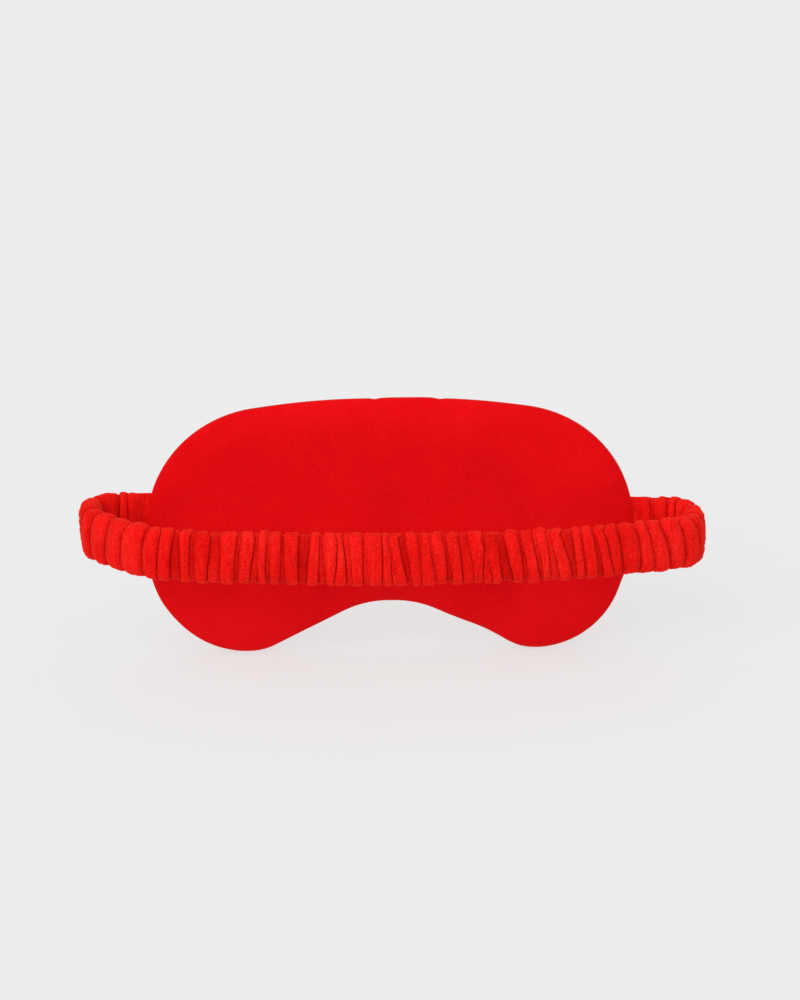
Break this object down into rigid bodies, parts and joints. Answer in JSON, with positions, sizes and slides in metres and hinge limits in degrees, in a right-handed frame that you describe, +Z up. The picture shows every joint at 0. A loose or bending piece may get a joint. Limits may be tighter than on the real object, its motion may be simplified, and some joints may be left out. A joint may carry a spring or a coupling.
{
  "type": "sleep eye mask",
  "caption": "Padded velvet sleep mask that stands on its cheek lobes, with a nose notch and an elastic strap in a gathered velvet sleeve sewn into the side seams.",
  "frame": {"origin": "on the floor, under the middle of the box round the mask and its strap loop", "axes": "+X to the right across the mask's width as seen from the wearer's side, +Y from the wearer's face towards the mask's outer face, +Z up towards the brow"},
  "size_m": [0.259, 0.0598, 0.1126],
  "materials": {
    "velvet": "short-pile velvet",
    "wadding": "matte",
    "lining": "matte",
    "thread": "satin",
    "elastic": "woven, matte"
  },
  "bodies": {
    "mask": {"back_panel": "velvet", "front_panel": "velvet", "back_wadding": "wadding", "front_wadding": "wadding", "blackout_lining": "lining", "perimeter_stitching": "thread", "turning_gap_stitching": "thread", "left_strap_tab": "velvet", "left_elastic_end": "elastic", "left_bartack": "thread", "right_strap_tab": "velvet", "right_elastic_end": "elastic", "right_bartack": "thread"},
    "strap_sides": {"left_strap_sleeve": "velvet", "left_strap_elastic": "elastic", "left_sleeve_thread": "thread", "right_strap_sleeve": "velvet", "right_strap_elastic": "elastic", "right_sleeve_thread": "thread"},
    "strap_back": {"back_strap_sleeve": "velvet", "back_strap_elastic": "elastic", "back_sleeve_thread": "thread"}
  },
  "joints": [
    {"name": "strap_swing", "type": "hinge", "parent": "mask", "child": "strap_sides", "pos_m": [0, 0.0239, 0.058], "axis": [1, 0, 0], "range_deg": [-45, 45], "stiffness_Nm_per_rad": 0.1, "springref_deg": -5.73},
    {"name": "strap_stretch", "type": "slide", "parent": "strap_sides", "child": "strap_back", "axis": [0, -1, 0], "range_m": [0, 0.06], "stiffness_N_per_m": 40}
  ]
}
